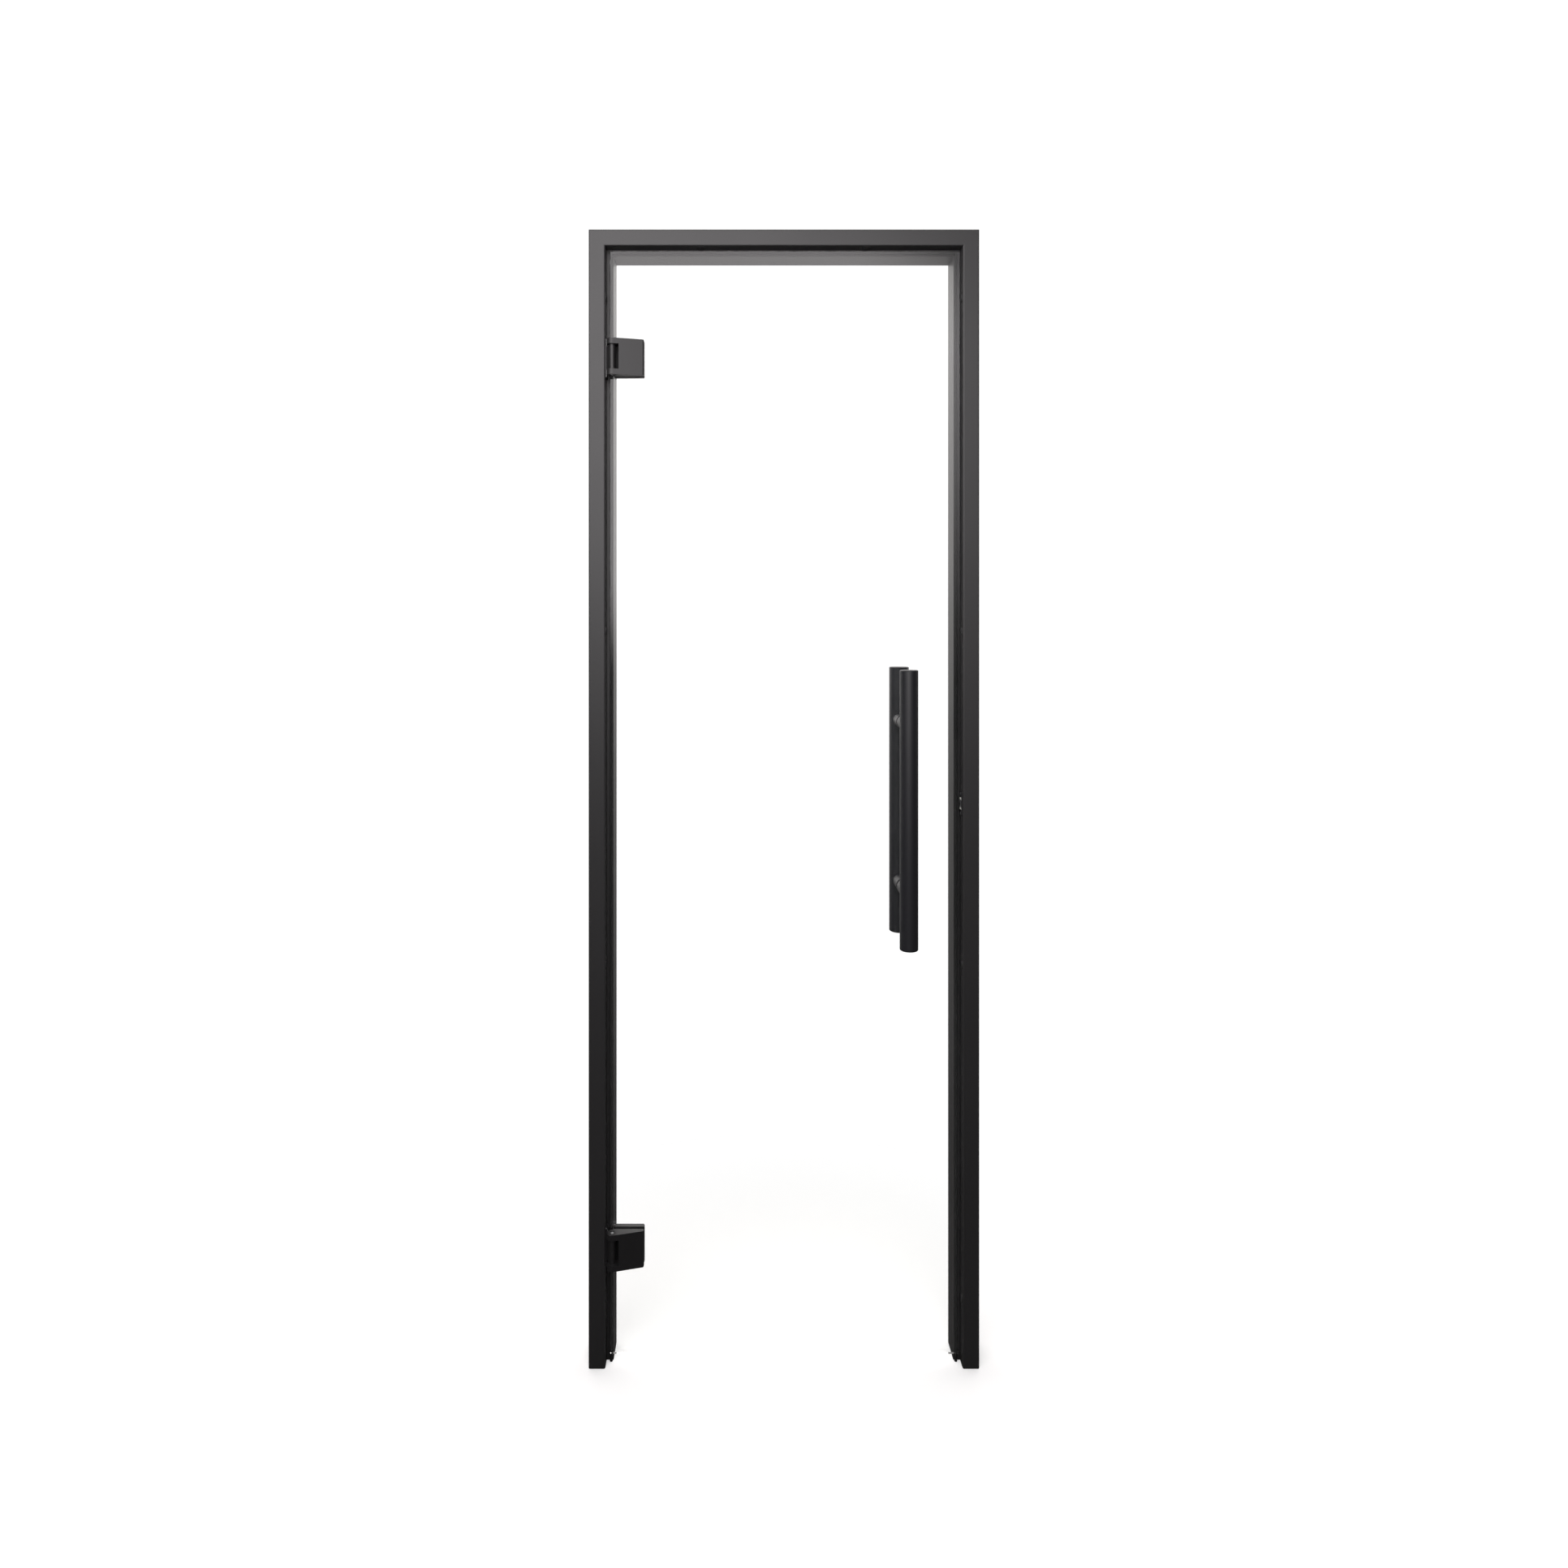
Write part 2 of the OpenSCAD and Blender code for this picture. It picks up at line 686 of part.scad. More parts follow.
module catch_roller() {
    chamfer = 0.8;
    half_h = roller_h / 2;
    bore_r = axle_r + run_fit;
    color(steel_grey) translate([roller_x, 0, catch_z]) rotate_extrude()
        polygon([[bore_r, -half_h], [roller_r - chamfer, -half_h], [roller_r, chamfer - half_h],
            [roller_r, half_h - chamfer], [roller_r - chamfer, half_h], [bore_r, half_h]]);
}

module at_clamp_holes() {
    for (hinge_z = hinge_zs, side = [-1, 1])
        translate([clamp_screw_x, 0, hinge_z + side * clamp_screw_gap / 2]) children();
}
module at_posts() {
    for (z = post_zs) translate([handle_x, 0, z]) children();
}

module glass_pane() {
    color(glass_clear) difference() {
        along_y(glass_front, glass_back)
            polygon(round_rect(glass_x0, glass_z0, glass_x1, glass_z1, glass_corner_r));
        at_clamp_holes() translate([0, glass_front - past, 0]) to_py()
            cylinder(d = clamp_glass_hole_d, h = glass_t + 2 * past);
        at_posts() translate([0, glass_front - past, 0]) to_py()
            cylinder(d = handle_glass_hole_d, h = glass_t + 2 * past);
    }
}

// Front half of a clamp: two lugs and a wedge that thins towards its tip
module hinge_front(hinge_z) {
    difference() {
        translate([0, 0, hinge_z]) intersection() {
            translate([0, 0, -hinge_h / 2]) linear_extrude(hinge_h)
                polygon(concat(
                    arc([pivot_x, pivot_y], lug_r, 90, 360 + tangent_angle, lug_steps),
                    [[clamp_tip_x, clamp_tip_y], [clamp_x1, clamp_tip_y + clamp_chamfer],
                        [clamp_x1, clamp_y1], [pivot_x, clamp_y1]]));
            along_y(pivot_y - lug_r - past, clamp_y1 + past)
                polygon(round_rect(pivot_x - 2 * lug_r, -hinge_h / 2,
                    clamp_x1, hinge_h / 2, clamp_corner_r));
        }
        translate([pivot_x - 2 * lug_r, pivot_y - 2 * lug_r, hinge_z - hinge_slot_h / 2])
            cube([clamp_slot_x1 - pivot_x + 2 * lug_r, 4 * lug_r, hinge_slot_h]);
        translate([pivot_x, pivot_y, hinge_z - hinge_h]) cylinder(r = bush_r + run_fit, h = 2 * hinge_h);
        at_clamp_holes() translate([0, clamp_y1 + past, 0]) to_ny()
            cylinder(r = clamp_screw_r + fit, h = clamp_thread_l + past);
    }
}

module upper_hinge_front() {
    color(hinge_black) hinge_front(hinge_zs[1]);
}

module lower_hinge_front() {
    color(hinge_black) hinge_front(hinge_zs[0]);
}

// Back half of a clamp: a plate with countersunk holes
module hinge_back(hinge_z) {
    half_h = hinge_h / 2;
    difference() {
        translate([0, 0, hinge_z]) intersection() {
            along_y(clamp_back_y0, clamp_back_y1)
                polygon(round_rect(clamp_back_x0, -half_h, clamp_x1, half_h, clamp_corner_r));
            translate([0, 0, -half_h]) linear_extrude(hinge_h)
                polygon([[clamp_back_x0, clamp_back_y0], [clamp_x1, clamp_back_y0],
                    [clamp_x1, clamp_back_y1 - clamp_chamfer], [clamp_x1 - clamp_chamfer, clamp_back_y1],
                    [clamp_back_x0 + clamp_chamfer, clamp_back_y1],
                    [clamp_back_x0, clamp_back_y1 - clamp_chamfer]]);
        }
        at_clamp_holes() translate([0, clamp_back_y1, 0]) to_ny()
            csk_hole(clamp_screw_head_r, clamp_screw_r, clamp_screw_l);
    }
}

module upper_hinge_back() {
    color(hinge_black) hinge_back(hinge_zs[1]);
}

module lower_hinge_back() {
    color(hinge_black) hinge_back(hinge_zs[0]);
}

// Rubber between the clamp and each face of the glass
module hinge_pads(hinge_z) {
    half_h = hinge_h / 2 - pad_margin;
    difference() {
        translate([0, 0, hinge_z]) {
            along_y(clamp_y1, glass_front)
                polygon(round_rect(pivot_x + pad_margin, -half_h,
                    clamp_x1 - pad_margin, half_h, pad_margin));
            along_y(glass_back, clamp_back_y0)
                polygon(round_rect(clamp_back_x0 + pad_margin, -half_h,
                    clamp_x1 - pad_margin, half_h, pad_margin));
        }
        at_clamp_holes() translate([0, clamp_y1 - past, 0]) to_py()
            cylinder(r = clamp_screw_r + fit, h = clamp_back_y0 - clamp_y1 + 2 * past);
    }
}

module upper_hinge_pads() {
    color(rubber_black) hinge_pads(hinge_zs[1]);
}

module lower_hinge_pads() {
    color(rubber_black) hinge_pads(hinge_zs[0]);
}

module hinge_clamp_screws() {
    color(hinge_black) at_clamp_holes() translate([0, clamp_back_y1, 0]) to_ny()
        csk_screw(clamp_screw_head_r, clamp_screw_r, clamp_screw_l);
}

module hinge_sleeves() {
    color(nylon_white) at_clamp_holes() translate([0, glass_front, 0]) to_py()
        ring(clamp_glass_hole_d / 2 - fit, clamp_screw_r + fit, glass_t);
}

// Flanged bushes pressed into the lugs, flanges towards the barrel
module hinge_bushes() {
    flange_z = hinge_slot_h / 2;
    end_z = hinge_h / 2 - end_chamfer;
    bore_r = pin_r + run_fit;
    color(plastic_black) for (hinge_z = hinge_zs, side = [0, 1])
        translate([pivot_x, pivot_y, hinge_z]) mirror([0, 0, side]) rotate_extrude()
            polygon([[bore_r, flange_z - bush_flange_t], [bush_flange_r, flange_z - bush_flange_t],
                [bush_flange_r, flange_z], [bush_r, flange_z], [bush_r, end_z], [bore_r, end_z]]);
}

// What is made for the front of the glass, turned over to the back
module on_back() {
    mirror([0, 1, 0]) children();
}

// Tube with a hole for each post, in front of the glass
module handle_bar(bar_d, bar_out) {
    difference() {
        translate([handle_x, -bar_out, handle_z - bar_l / 2 + bar_cap_t])
            ring(bar_d / 2, bar_d / 2 - bar_wall, bar_l - 2 * bar_cap_t);
        at_posts() translate([0, -bar_out, 0]) to_py() cylinder(r = bar_screw_r + fit, h = bar_d);
    }
}

module front_handle_bar() {
    color(bar_black) handle_bar(front_bar_d, front_bar_out);
}

module rear_handle_bar() {
    color(bar_black) on_back() handle_bar(rear_bar_d, rear_bar_out);
}

module handle_caps(bar_d, bar_out) {
    spigot = bar_d / 2 - bar_wall - fit;
    cap_r = bar_d / 2;
    translate([handle_x, -bar_out, handle_z]) for (side = [0, 1])
        mirror([0, 0, side]) translate([0, 0, bar_l / 2]) rotate_extrude()
            polygon([[0, -bar_cap_t - bar_cap_spigot_l],
                [spigot - bar_cap_chamfer, -bar_cap_t - bar_cap_spigot_l],
                [spigot, bar_cap_chamfer - bar_cap_t - bar_cap_spigot_l],
                [spigot, -bar_cap_t], [cap_r, -bar_cap_t],
                [cap_r, -bar_cap_chamfer], [cap_r - bar_cap_chamfer, 0], [0, 0]]);
}

module front_handle_caps() {
    color(bar_black) handle_caps(front_bar_d, front_bar_out);
}

module rear_handle_caps() {
    color(bar_black) on_back() handle_caps(rear_bar_d, rear_bar_out);
}

// Where the grub screw of a post lies, pointing at the post's axis
module at_grub_screw() {
    translate([0, -grub_y, 0]) rotate([0, -grub_angle, 0]) translate([post_r, 0, 0]) to_nx() children();
}

// Posts with a bore for the spigot, a saddle for the bar and a web for the bar's screw
module standoffs(bar_d, bar_out) {
    difference() {
        at_posts() difference() {
            translate([0, -post_y0, 0]) to_ny() cylinder(r = post_r, h = bar_out - post_y0);
            translate([0, -post_y0 + past, 0]) to_ny() cylinder(r = spigot_r + fit, h = post_bore_l + past);
            translate([0, -post_y0, 0]) to_ny() cylinder(r = bar_screw_r + fit, h = bar_out);
            at_grub_screw() translate([0, 0, -past]) cylinder(r = grub_r + fit, h = grub_l + 2 * past);
        }
        translate([handle_x, -bar_out, handle_z - bar_l / 2]) cylinder(r = bar_d / 2 + run_fit, h = bar_l);
    }
}

module front_standoffs() {
    color(bar_black) standoffs(front_bar_d, front_bar_out);
}

module rear_standoffs() {
    color(bar_black) on_back() standoffs(rear_bar_d, rear_bar_out);
}

module handle_studs() {
    half_l = glass_back + gasket_t + spigot_flange_t + stud_reach;
    color(steel_grey) at_posts() translate([0, -half_l, 0]) to_py() cylinder(d = stud_d, h = 2 * half_l);
}

// Flanged spigots screwed on the rods, clamping the glass
module handle_spigot() {
    flange_y = glass_back + gasket_t;
    at_posts() translate([0, -flange_y, 0]) to_ny() difference() {
        union() {
            cylinder(r = post_r, h = spigot_flange_t);
            cylinder(r = spigot_r, h = spigot_flange_t + spigot_l);
        }
        translate([0, 0, -past]) cylinder(d = stud_d + 2 * fit, h = spigot_flange_t + spigot_l + 2 * past);
    }
}

module handle_spigots() {
    color(bar_black) {
        handle_spigot();
        on_back() handle_spigot();
    }
}

module handle_sleeves() {
    color(nylon_white) at_posts() translate([0, glass_front, 0]) to_py()
        ring(handle_glass_hole_d / 2 - fit, stud_d / 2 + fit, glass_t);
}

module handle_gasket() {
    at_posts() translate([0, glass_front, 0]) to_ny()
        ring(post_r - gasket_rim, stud_d / 2 + fit, gasket_t);
}

module handle_gaskets() {
    color(rubber_black) {
        handle_gasket();
        on_back() handle_gasket();
    }
}

// Screws from the bottom of the post's bore into the nut inside the bar
module bar_screw(bar_d, bar_out) {
    head_y = post_y0 + post_bore_l - bar_screw_head_h;
    tip_y = bar_out - bar_d / 2 + bar_wall + bar_nut_t;
    at_posts() translate([0, -head_y, 0]) to_ny() difference() {
        union() {
            cylinder(r = bar_screw_head_r, h = bar_screw_head_h);
            cylinder(r = bar_screw_r, h = tip_y - head_y);
        }
        translate([0, 0, -eps]) cylinder(r = 0.8 * bar_screw_r, h = socket_d, $fn = 6);
    }
}

module handle_bar_screws() {
    color(steel_grey) {
        bar_screw(front_bar_d, front_bar_out);
        on_back() bar_screw(rear_bar_d, rear_bar_out);
    }
}

// Nut whose face follows the inside of the bar
module bar_nut(bar_d, bar_out) {
    inner_r = bar_d / 2 - bar_wall - run_fit;
    at_posts() difference() {
        intersection() {
            translate([0, -bar_out + inner_r - bar_nut_t, 0]) to_py() cylinder(r = bar_nut_r, h = bar_d);
            translate([0, -bar_out, -bar_d]) cylinder(r = inner_r, h = 2 * bar_d);
        }
        translate([0, -bar_out, 0]) to_py() cylinder(r = bar_screw_r + fit, h = bar_d);
    }
}

module handle_bar_nuts() {
    color(steel_grey) {
        bar_nut(front_bar_d, front_bar_out);
        on_back() bar_nut(rear_bar_d, rear_bar_out);
    }
}

module grub_screw() {
    at_posts() at_grub_screw() translate([0, 0, grub_sunk]) difference() {
        cylinder(r = grub_r, h = grub_l - grub_sunk);
        translate([0, 0, -eps]) cylinder(r = 0.55 * grub_r, h = socket_d, $fn = 6);
    }
}

module handle_grub_screws() {
    color(bar_black) {
        grub_screw();
        on_back() grub_screw();
    }
}

hinge_jamb();
catch_jamb();
head_rail();
corner_cleats();
corner_screws();
hinge_jamb_seal();
catch_jamb_seal();
head_seal();
fixing_caps();
upper_hinge_bracket();
lower_hinge_bracket();
upper_hinge_pin();
lower_hinge_pin();
hinge_backing_plates();
hinge_bracket_screws();
catch_case();
catch_face_plate();
catch_screws();
catch_spring();
catch_plunger();
catch_axle();
catch_roller();
glass_pane();
upper_hinge_front();
lower_hinge_front();
upper_hinge_back();
lower_hinge_back();
upper_hinge_pads();
lower_hinge_pads();
hinge_clamp_screws();
hinge_sleeves();
hinge_bushes();
front_handle_bar();
rear_handle_bar();
front_handle_caps();
rear_handle_caps();
front_standoffs();
rear_standoffs();
handle_studs();
handle_spigots();
handle_sleeves();
handle_gaskets();
handle_bar_screws();
handle_bar_nuts();
handle_grub_screws();
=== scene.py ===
"""Looks of the hinged glass door: finishes, the catch's spring, the floor, the light and the camera."""

import math

import bmesh
import bpy
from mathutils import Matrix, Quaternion, Vector


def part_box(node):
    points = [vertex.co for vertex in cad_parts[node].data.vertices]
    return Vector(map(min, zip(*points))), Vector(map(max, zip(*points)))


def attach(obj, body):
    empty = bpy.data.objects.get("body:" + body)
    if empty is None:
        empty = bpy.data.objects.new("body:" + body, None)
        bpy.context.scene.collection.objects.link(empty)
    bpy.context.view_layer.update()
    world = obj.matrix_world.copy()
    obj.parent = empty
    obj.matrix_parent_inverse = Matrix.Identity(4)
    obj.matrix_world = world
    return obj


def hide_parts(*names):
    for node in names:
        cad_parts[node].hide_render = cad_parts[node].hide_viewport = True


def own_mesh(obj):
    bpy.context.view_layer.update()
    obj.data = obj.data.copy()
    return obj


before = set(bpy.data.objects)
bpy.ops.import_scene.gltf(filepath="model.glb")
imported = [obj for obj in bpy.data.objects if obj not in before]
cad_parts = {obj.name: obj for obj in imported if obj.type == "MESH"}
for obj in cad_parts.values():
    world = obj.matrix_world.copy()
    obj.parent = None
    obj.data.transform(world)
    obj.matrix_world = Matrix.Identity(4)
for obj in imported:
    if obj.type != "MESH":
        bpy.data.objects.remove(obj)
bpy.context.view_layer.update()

# Camera: the eye in metres, the scale on the frame's front plane and the pixel that the level view axis meets
PICTURE_SIDE = 1932
SENSOR_MM = 36.0
EYE = Vector((-0.0813, -1.812, 1.3503))
PX_PER_M = 688.5
AXIS_PX = (910.0, 757.0)
CLIP_START = 0.05

# Room: the background is white where it is seen, and the rest is the light that the object gets from around
WHITE = (1.0, 1.0, 1.0)
BACKGROUND = 1.1
FRONT_ROOM = 0.02
BACK_LOW = 0.15
BACK_HIGH = 1.5
BACK_RISE = (-0.52, 0.32)
BACK_TURN = (0.0, 0.5)
BACK_TINT = (1.0, 0.975, 0.955)

# Lamp: place, aim and sides in metres, roll in radians, and where it starts to fade, as a share of each side
KEY_PLACE = Vector((-0.385, -1.46, 2.13))
KEY_AIM = Vector((-0.1, 0.0, 1.3))
KEY_SIDES = (3.6, 2.1)
KEY_CORE = (0.1, 0.3)
KEY_ROLL = -0.55
KEY_LEVEL = 3.6
KEY_TINT = (1.0, 0.965, 0.975)

# Floor: pale with a glow near the feet and white further out. For the object's reflections and bounce light
# it is a dim matt floor with a painted glow that rises further behind
FLOOR_HALF = 9.0
FLOOR_GLOW = 0.43
FLOOR_ALBEDO = 0.8
FLOOR_NEAR = 0.36
FLOOR_FAR = 0.8
BOUNCE_ALBEDO = 0.06
# Painted glow of the floor for reflections and bounce light: its level in front, its level far behind, and
# the Y span in metres over which it rises
PAINTED_GLOW_FRONT = 0.015
PAINTED_GLOW_BACK = 0.32
PAINTED_GLOW_RISE = (0.8, 3.2)

# Small edge rounding on pieces that are left sharp, in metres and radians
EDGE_BEVEL = 0.0004
BEVEL_SEGMENTS = 2
BEVEL_ANGLE = 0.6
WELD_GAP = 0.000001

# Wire of the catch's spring, in metres, and its windings
WIRE_R = 0.0004
SPRING_TURNS = 4
TURN_STEPS = 32
WIRE_SIDES = 10

# Finishes: scales are per metre, depths in metres, and tones are factors on the colour
NOISE_RANGE = (0.3, 0.7)
COAT_CLOUD_SCALE = 5.0
COAT_GRAIN_SHARE = 0.6
COAT_ROUGH_SWING = 0.04
COAT_GRAIN_DEPTH = 0.00012
RUBBER_GRAIN_SCALE = 2600.0
RUBBER_TONES = (0.8, 1.25)
RUBBER_ROUGH = 0.7
RUBBER_ROUGH_SWING = 0.08
RUBBER_BUMP = 0.12
RUBBER_GRAIN_DEPTH = 0.0001
RUBBER_GLOSS = 0.3
MOULD_CLOUD_SCALE = 40.0
MOULD_TONES = (0.94, 1.05)
MOULD_ROUGH_SWING = 0.06
MOULD_BUMP = 0.15
MOULD_GRAIN_DEPTH = 0.00008
METAL_LINE_SCALE = 900.0
METAL_CLOUD_SCALE = 60.0
METAL_TONES = (0.88, 1.08)
METAL_ROUGH_SWING = 0.07
METAL_BUMP = 0.1
METAL_LINE_DEPTH = 0.00005
GLASS_IOR = 1.52
GLASS_SHADOW = (0.93, 0.95, 0.94)
GLASS_TINT = (0.7, 0.86, 0.78)
GLASS_DENSITY = 1.6


# Shader helpers

class Shader:
    """A material, world or lamp tree with short calls for adding and joining nodes."""

    def __init__(self, tree):
        self.tree = tree
        tree.nodes.clear()

    def node(self, kind, **values):
        made = self.tree.nodes.new(kind)
        for name, value in values.items():
            setattr(made, name, value)
        return made

    def feed(self, value, socket):
        """Set a plain number on the socket itself, or join another node's output to it."""
        if isinstance(value, (int, float)):
            socket.default_value = value
        else:
            self.tree.links.new(value, socket)

    def math(self, operation, *values):
        made = self.node("ShaderNodeMath", operation=operation)
        for value, socket in zip(values, made.inputs):
            self.feed(value, socket)
        return made.outputs[0]

    def span(self, value, low, high, to_low, to_high, smooth=False):
        made = self.node("ShaderNodeMapRange")
        made.interpolation_type = "SMOOTHSTEP" if smooth else "LINEAR"
        self.feed(value, made.inputs["Value"])
        made.inputs["From Min"].default_value = low
        made.inputs["From Max"].default_value = high
        made.inputs["To Min"].default_value = to_low
        made.inputs["To Max"].default_value = to_high
        return made.outputs["Result"]

    def place(self, system="Object"):
        return self.node("ShaderNodeTexCoord").outputs[system]

    def axes(self, place):
        made = self.node("ShaderNodeSeparateXYZ")
        self.feed(place, made.inputs["Vector"])
        return made.outputs

    def stretched(self, place, stretch):
        made = self.node("ShaderNodeMapping")
        made.inputs["Scale"].default_value = stretch
        self.feed(place, made.inputs["Vector"])
        return made.outputs["Vector"]

    def noise(self, place, scale, detail=3.0, rough=0.55):
        made = self.node("ShaderNodeTexNoise")
        made.inputs["Scale"].default_value = scale
        made.inputs["Detail"].default_value = detail
        made.inputs["Roughness"].default_value = rough
        self.feed(place, made.inputs["Vector"])
        return made.outputs["Fac"]

    def colours(self, value, colour, tones):
        made = self.node("ShaderNodeValToRGB")
        for element, position, tone in zip(made.color_ramp.elements, NOISE_RANGE, tones):
            element.position = position
            element.color = (*(channel * tone for channel in colour), 1.0)
        self.feed(value, made.inputs["Fac"])
        return made.outputs["Color"]

    def roughness(self, value, middle, swing):
        return self.span(value, *NOISE_RANGE, middle - swing, middle + swing)

    def bump(self, height, strength, depth):
        made = self.node("ShaderNodeBump")
        made.inputs["Strength"].default_value = strength
        made.inputs["Distance"].default_value = depth
        self.feed(height, made.inputs["Height"])
        return made.outputs["Normal"]

    def light(self, kind, colour, strength):
        made = self.node(kind)
        made.inputs["Color"].default_value = (*colour, 1.0)
        self.feed(strength, made.inputs["Strength"])
        return made.outputs[0]

    def matt(self, albedo):
        made = self.node("ShaderNodeBsdfDiffuse")
        made.inputs["Color"].default_value = (albedo, albedo, albedo, 1.0)
        return made.outputs["BSDF"]

    def added(self, first, second):
        made = self.node("ShaderNodeAddShader")
        self.feed(first, made.inputs[0])
        self.feed(second, made.inputs[1])
        return made.outputs["Shader"]

    def mixed(self, share, first, second):
        made = self.node("ShaderNodeMixShader")
        self.feed(share, made.inputs["Fac"])
        self.feed(first, made.inputs[1])
        self.feed(second, made.inputs[2])
        return made.outputs["Shader"]


def new_material(name):
    """A material with one Principled shader, and its tree and sockets at hand."""
    material = bpy.data.materials.new(name)
    material.use_nodes = True
    shader = Shader(material.node_tree)
    principled = shader.node("ShaderNodeBsdfPrincipled")
    output = shader.node("ShaderNodeOutputMaterial")
    shader.feed(principled.outputs["BSDF"], output.inputs["Surface"])
    return material, shader, principled, output


# Finishes

def coating(name, colour, rough, gloss, grain, drift, bump):
    """Satin powder coat: fine orange-peel grain, and a slow drift in tone and gloss."""
    material, shader, principled, _ = new_material(name)
    sockets = principled.inputs
    place = shader.place()
    fine = shader.noise(place, grain, detail=4.0, rough=0.6)
    slow = shader.noise(place, COAT_CLOUD_SCALE, detail=2.0)
    fine_part = shader.math("MULTIPLY", fine, COAT_GRAIN_SHARE)
    slow_part = shader.math("MULTIPLY", slow, 1 - COAT_GRAIN_SHARE)
    tone = shader.math("ADD", fine_part, slow_part)
    shader.feed(shader.colours(tone, colour, (1 - drift, 1 + drift)), sockets["Base Color"])
    shader.feed(shader.roughness(tone, rough, COAT_ROUGH_SWING), sockets["Roughness"])
    shader.feed(shader.bump(fine, bump, COAT_GRAIN_DEPTH), sockets["Normal"])
    sockets["Specular IOR Level"].default_value = gloss
    return material


def rubber(name, colour):
    """Matt extruded rubber with a dust-fine grain."""
    material, shader, principled, _ = new_material(name)
    sockets = principled.inputs
    grain = shader.noise(shader.place(), RUBBER_GRAIN_SCALE, detail=2.0)
    shader.feed(shader.colours(grain, colour, RUBBER_TONES), sockets["Base Color"])
    shader.feed(shader.roughness(grain, RUBBER_ROUGH, RUBBER_ROUGH_SWING), sockets["Roughness"])
    shader.feed(shader.bump(grain, RUBBER_BUMP, RUBBER_GRAIN_DEPTH), sockets["Normal"])
    sockets["Specular IOR Level"].default_value = RUBBER_GLOSS
    return material


def moulded(name, colour, rough, grain):
    """Moulded plastic with a fine spark-eroded grain."""
    material, shader, principled, _ = new_material(name)
    sockets = principled.inputs
    place = shader.place()
    fine = shader.noise(place, grain)
    slow = shader.noise(place, MOULD_CLOUD_SCALE, detail=2.0)
    shader.feed(shader.colours(slow, colour, MOULD_TONES), sockets["Base Color"])
    shader.feed(shader.roughness(fine, rough, MOULD_ROUGH_SWING), sockets["Roughness"])
    shader.feed(shader.bump(fine, MOULD_BUMP, MOULD_GRAIN_DEPTH), sockets["Normal"])
    return material


def metal(name, colour, rough, stretch, metallic=1.0):
    """Metal with fine tool lines, drawn out by stretch, and a cloudy tone."""
    material, shader, principled, _ = new_material(name)
    sockets = principled.inputs
    place = shader.place()
    lines = shader.noise(shader.stretched(place, stretch), METAL_LINE_SCALE)
    cloud = shader.noise(place, METAL_CLOUD_SCALE)
    shader.feed(shader.colours(cloud, colour, METAL_TONES), sockets["Base Color"])
    shader.feed(shader.roughness(lines, rough, METAL_ROUGH_SWING), sockets["Roughness"])
    shader.feed(shader.bump(lines, METAL_BUMP, METAL_LINE_DEPTH), sockets["Normal"])
    sockets["Metallic"].default_value = metallic
    return material


def clear_glass(name):
    """Clear float glass: a trace of green that shows at the polished edges, and lamps pass through it."""
    material, shader, principled, output = new_material(name)
    principled.inputs["Base Color"].default_value = (*WHITE, 1.0)
    principled.inputs["Roughness"].default_value = 0.0
    principled.inputs["IOR"].default_value = GLASS_IOR
    principled.inputs["Transmission Weight"].default_value = 1.0
    clear = shader.node("ShaderNodeBsdfTransparent")
    clear.inputs["Color"].default_value = (*GLASS_SHADOW, 1.0)
    shadow_ray = shader.node("ShaderNodeLightPath").outputs["Is Shadow Ray"]
    surface = shader.mixed(shadow_ray, principled.outputs["BSDF"], clear.outputs["BSDF"])
    shader.feed(surface, output.inputs["Surface"])
    tint = shader.node("ShaderNodeVolumeAbsorption")
    tint.inputs["Color"].default_value = (*GLASS_TINT, 1.0)
    tint.inputs["Density"].default_value = GLASS_DENSITY
    shader.feed(tint.outputs["Volume"], output.inputs["Volume"])
    return material


FINISHES = {
    "frame_coating": coating("frame_coating", (0.026, 0.0255, 0.0265), rough=0.45, gloss=0.6,
                             grain=1500.0, drift=0.06, bump=0.22),
    "hinge_coating": coating("hinge_coating", (0.014, 0.0135, 0.0145), rough=0.44, gloss=0.6,
                             grain=1700.0, drift=0.05, bump=0.18),
    "handle_coating": coating("handle_coating", (0.012, 0.0125, 0.016), rough=0.43, gloss=0.8,
                              grain=2400.0, drift=0.05, bump=0.1),
    "black_rubber": rubber("black_rubber", (0.012, 0.012, 0.0125)),
    "nylon": moulded("nylon", (0.68, 0.68, 0.63), rough=0.42, grain=900.0),
    "steel": metal("steel", (0.56, 0.57, 0.58), rough=0.32, stretch=(1.0, 1.0, 0.08)),
    "black_steel": metal("black_steel", (0.05, 0.05, 0.054), rough=0.42, stretch=(1.0, 1.0, 1.0),
                         metallic=0.7),
    "black_plastic": moulded("black_plastic", (0.026, 0.026, 0.027), rough=0.55, grain=1800.0),
    "bare_aluminium": metal("bare_aluminium", (0.66, 0.67, 0.68), rough=0.38, stretch=(1.0, 1.0, 0.05)),
    "clear_glass": clear_glass("clear_glass"),
}

SHARP_NODES = [
    "upper_hinge_front", "lower_hinge_front", "upper_hinge_back", "lower_hinge_back",
    "upper_hinge_bracket", "lower_hinge_bracket", "catch_face_plate",
]


def dress_nodes():
    """Give every CAD node the finish of its material slot."""
    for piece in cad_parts.values():
        for slot in piece.material_slots:
            slot.material = FINISHES[slot.material.name.split(".")[0]]


def soften_edges(name):
    """Round the sharp edges of one node by a hair, with even shading over its faces."""
    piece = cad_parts[name]
    weld = piece.modifiers.new("weld", "WELD")
    weld.merge_threshold = WELD_GAP
    bevel = piece.modifiers.new("bevel", "BEVEL")
    bevel.width = EDGE_BEVEL
    bevel.segments = BEVEL_SEGMENTS
    bevel.limit_method = "ANGLE"
    bevel.angle_limit = BEVEL_ANGLE
    bevel.harden_normals = True
    normals = piece.modifiers.new("normals", "WEIGHTED_NORMAL")
    normals.keep_sharp = True


# Spring of the catch

